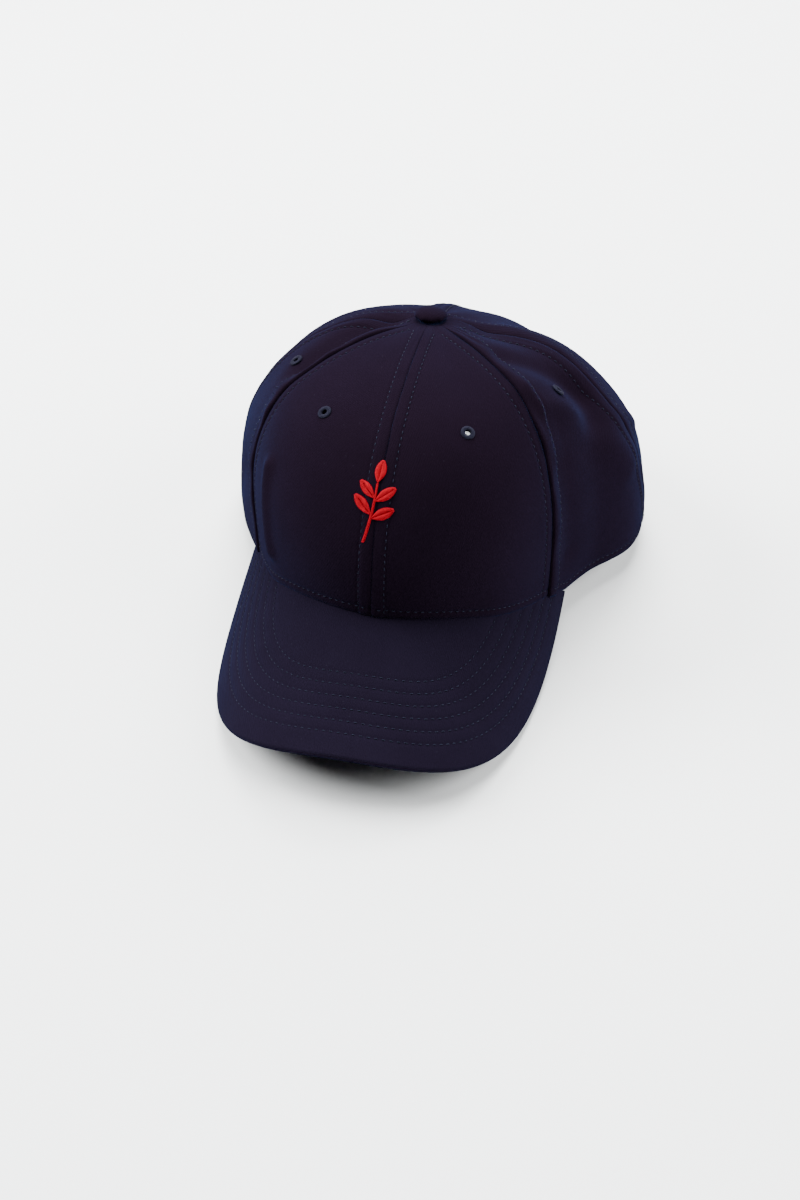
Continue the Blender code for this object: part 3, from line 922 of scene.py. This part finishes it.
def make_strap():
    """Strap across the arch, with turned edges and a groove where they are sewn down."""
    half_angle = math.degrees((ARCH_HALF_WIDTH + STRAP_LAP) / abs(RIM_BACK))
    steep = float(meridian(180.0)[2])
    top = math.asin((STRAP_HEIGHT / CROWN_HEIGHT) ** (steep / 2)) / (math.pi / 2)
    across, up = np.meshgrid(np.linspace(-1, 1, 90), np.linspace(0, 1, 24), indexing="ij")
    climb = top * up**ROW_SPREAD
    azimuth = 180.0 + half_angle * across
    edge = np.minimum(up, 1 - up) * STRAP_HEIGHT
    roll = rise_at(edge, STRAP_ROLL, 0.9 * MM)
    channel = rise_at(edge - STRAP_STITCH_INSET, 0.2 * MM, 0.6 * MM)
    outer = crown_surface(azimuth, climb, -CLOTH - FIT_GAP - roll - channel)
    inner = crown_surface(azimuth, climb, -CLOTH - FIT_GAP - STRAP_THICKNESS + roll)
    rows, columns = across.shape
    count = rows * columns
    faces = grid_faces(rows, columns, 0, True) + grid_faces(rows, columns, count)
    loop = grid_edge(rows, columns)
    for a, b in zip(loop, loop[1:] + loop[:1]):
        faces.append((a, b, b + count, a + count))
    points = np.concatenate([outer.reshape(-1, 3), inner.reshape(-1, 3)])
    flat = np.stack([across * abs(RIM_BACK) * math.radians(half_angle), up * STRAP_HEIGHT], -1)
    flat = np.tile(flat.reshape(-1, 2), (2, 1))
    strap = make_piece("strap_cloth", to_world(points), faces, CROWN_CLOTH, flat)
    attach(strap, "root")
    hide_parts("back_strap")


# Embroidery

SPRIG_TURN = -0.8
SPRIG_CLIMB = 0.335
SPRIG_THREAD = 0.24 * MM
SPRIG_STEM_STITCHES = 86
SPRIG_STITCH_STEP = 0.34
SPRIG_LEAVES = (
    # share of the stem, degrees from the stem's own direction, length and width in millimetres
    (1.00, 6.0, 9.5, 4.6),
    (0.74, -50.0, 9.5, 4.2),
    (0.69, 47.0, 10.0, 4.4),
    (0.46, -56.0, 10.5, 4.6),
    (0.40, 54.0, 10.0, 4.6),
)


def sprig_place(side, up, lift):
    """World points of the embroidery from lengths on the cloth, bridging the seam."""
    centre = smooth_crown(SPRIG_TURN, SPRIG_CLIMB)
    rise = np.linalg.norm(smooth_crown(SPRIG_TURN, SPRIG_CLIMB + 0.01) - centre) / 0.01
    climb = SPRIG_CLIMB + np.asarray(up) / rise
    beside = smooth_crown(SPRIG_TURN + 1.0, climb) - smooth_crown(SPRIG_TURN, climb)
    across = np.linalg.norm(beside, axis=-1)
    azimuth = SPRIG_TURN + np.asarray(side) / across
    from_seam = np.abs(azimuth) * across
    over = 0.12 * MM + SEAM_SIDES["open"][0] * (1 - ease((from_seam / MM - 4.3) / 1.8))
    return to_world(crown_surface(azimuth, climb, over + lift))


def sprig_stem(share):
    """Place on the curved stem, from its foot to its tip, and the stem's direction there."""
    place = np.array((-2.6 + 6.2 * share - 3.4 * share**2, -15.5 + 23.5 * share)) * MM
    ahead = np.array((6.2 - 6.8 * share, 23.5))
    return place, ahead / np.linalg.norm(ahead)


def satin(start, end, bulge):
    """One satin stitch: a thread that rises from the cloth, spans the shape and dives again."""
    share = np.linspace(0, 1, 7)
    flat = start + (end - start) * share[:, None]
    lift = bulge * (np.sin(math.pi * share) ** 0.7) - 0.15 * MM
    return sprig_place(flat[:, 0], flat[:, 1], lift)


def leaf_stitches(share, turn, length, width):
    """Satin stitches of one leaf, slanted from its rib to both edges."""
    root, ahead = sprig_stem(share)
    cosine, sine = math.cos(math.radians(turn)), math.sin(math.radians(turn))
    rib = np.array((ahead[0] * cosine + ahead[1] * sine, -ahead[0] * sine + ahead[1] * cosine))
    across = np.array((rib[1], -rib[0]))
    count = int(length / SPRIG_STITCH_STEP)
    strands = []
    for side in (-1, 1):
        for k in range(count):
            along = (k + 0.5) / count
            half = width / 2 * MM * math.sin(math.pi * along) ** 0.75
            middle = root + rib * length * MM * (0.05 + 0.95 * max(along - 0.06, 0.0))
            tip = root + rib * length * MM * (0.05 + 0.95 * min(along + 0.05, 1.0))
            bulge = (0.25 + 0.11 * half / MM) * MM
            strands.append(satin(middle - across * side * 0.1 * MM, tip + across * side * half, bulge))
    return strands


def stem_stitches():
    """Short satin stitches across the stem, which thins towards its tip."""
    strands = []
    for k in range(SPRIG_STEM_STITCHES):
        place, ahead = sprig_stem(k / (SPRIG_STEM_STITCHES - 1))
        across = np.array((ahead[1], -ahead[0]))
        reach = across * (0.62 - 0.25 * k / SPRIG_STEM_STITCHES) * MM + ahead * 0.3 * MM
        strands.append(satin(place - reach, place + reach, 0.3 * MM))
    return strands


def make_sprig():
    """Plain sprig of five leaves in satin stitch, over the front seam."""
    strands = []
    for leaf in SPRIG_LEAVES:
        strands += leaf_stitches(*leaf)
    strands += stem_stitches()
    points, faces = thread_mesh(strands, SPRIG_THREAD, 5)
    sprig = make_piece("sprig_embroidery", points, faces, RED_THREAD)
    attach(sprig, "root")


# Stage

FLOOR_HALF = 4.0
FLOOR_COLOR = (0.845, 0.865, 0.870, 1.0)
SKY_STRENGTH = 0.22
CAMERA_LENS = 49.47
CAMERA_PLACE = (0.1205, -0.5774, 0.4876)
CAMERA_BACK = Vector((0.1660, -0.7453, 0.6458))
LAMP_AIM = Vector((0.0, 0.0, 0.05))
LAMP_DISTANCE = 1.7
LAMP_SIZE = 1.2
LAMPS = (
    # name, azimuth and elevation in degrees, power in watts
    ("window_left", 180.0, 35.0, 96.0),
    ("ceiling", 120.0, 80.0, 62.0),
    ("window_back", 30.0, 12.0, 56.0),
    ("wall_right", -6.0, 34.0, 32.0),
    ("wall_back", 98.0, 44.0, 78.0),
)


def make_floor():
    """Plain pale floor."""
    far = FLOOR_HALF
    mesh = bpy.data.meshes.new("floor")
    mesh.from_pydata([(-far, -far, 0), (far, -far, 0), (far, far, 0), (-far, far, 0)], [], [(0, 1, 2, 3)])
    floor = bpy.data.objects.new("floor", mesh)
    bpy.context.scene.collection.objects.link(floor)
    paper = bpy.data.materials.new("paper")
    paper.use_nodes = True
    _, shader = nodes_of(paper)
    shader.inputs["Base Color"].default_value = FLOOR_COLOR
    shader.inputs["Roughness"].default_value = 0.9
    mesh.materials.append(paper)


def make_lamps():
    """Broad soft lamps round the cap and a faint sky."""
    for name, azimuth, elevation, power in LAMPS:
        turn, rise = math.radians(azimuth), math.radians(elevation)
        toward = Vector((math.cos(turn) * math.cos(rise), math.sin(turn) * math.cos(rise), math.sin(rise)))
        light = bpy.data.lights.new(name, "AREA")
        light.shape = "DISK"
        light.size = LAMP_SIZE
        light.energy = power
        lamp = bpy.data.objects.new(name, light)
        lamp.location = LAMP_AIM + toward * LAMP_DISTANCE
        lamp.rotation_euler = toward.to_track_quat("Z", "Y").to_euler()
        bpy.context.scene.collection.objects.link(lamp)
    world = bpy.data.worlds.new("studio")
    world.use_nodes = True
    world.node_tree.nodes["Background"].inputs["Strength"].default_value = SKY_STRENGTH
    bpy.context.scene.world = world


def make_camera():
    """Camera at the photograph's angle."""
    camera = bpy.data.cameras.new("camera")
    camera.lens = CAMERA_LENS
    camera.sensor_width = 36.0
    eye = bpy.data.objects.new("camera", camera)
    eye.location = CAMERA_PLACE
    eye.rotation_euler = (-CAMERA_BACK).to_track_quat("-Z", "Y").to_euler()
    bpy.context.scene.collection.objects.link(eye)
    bpy.context.scene.camera = eye


make_crown()
make_peak()
make_button()
make_strap()
make_sprig()
make_floor()
make_lamps()
make_camera()
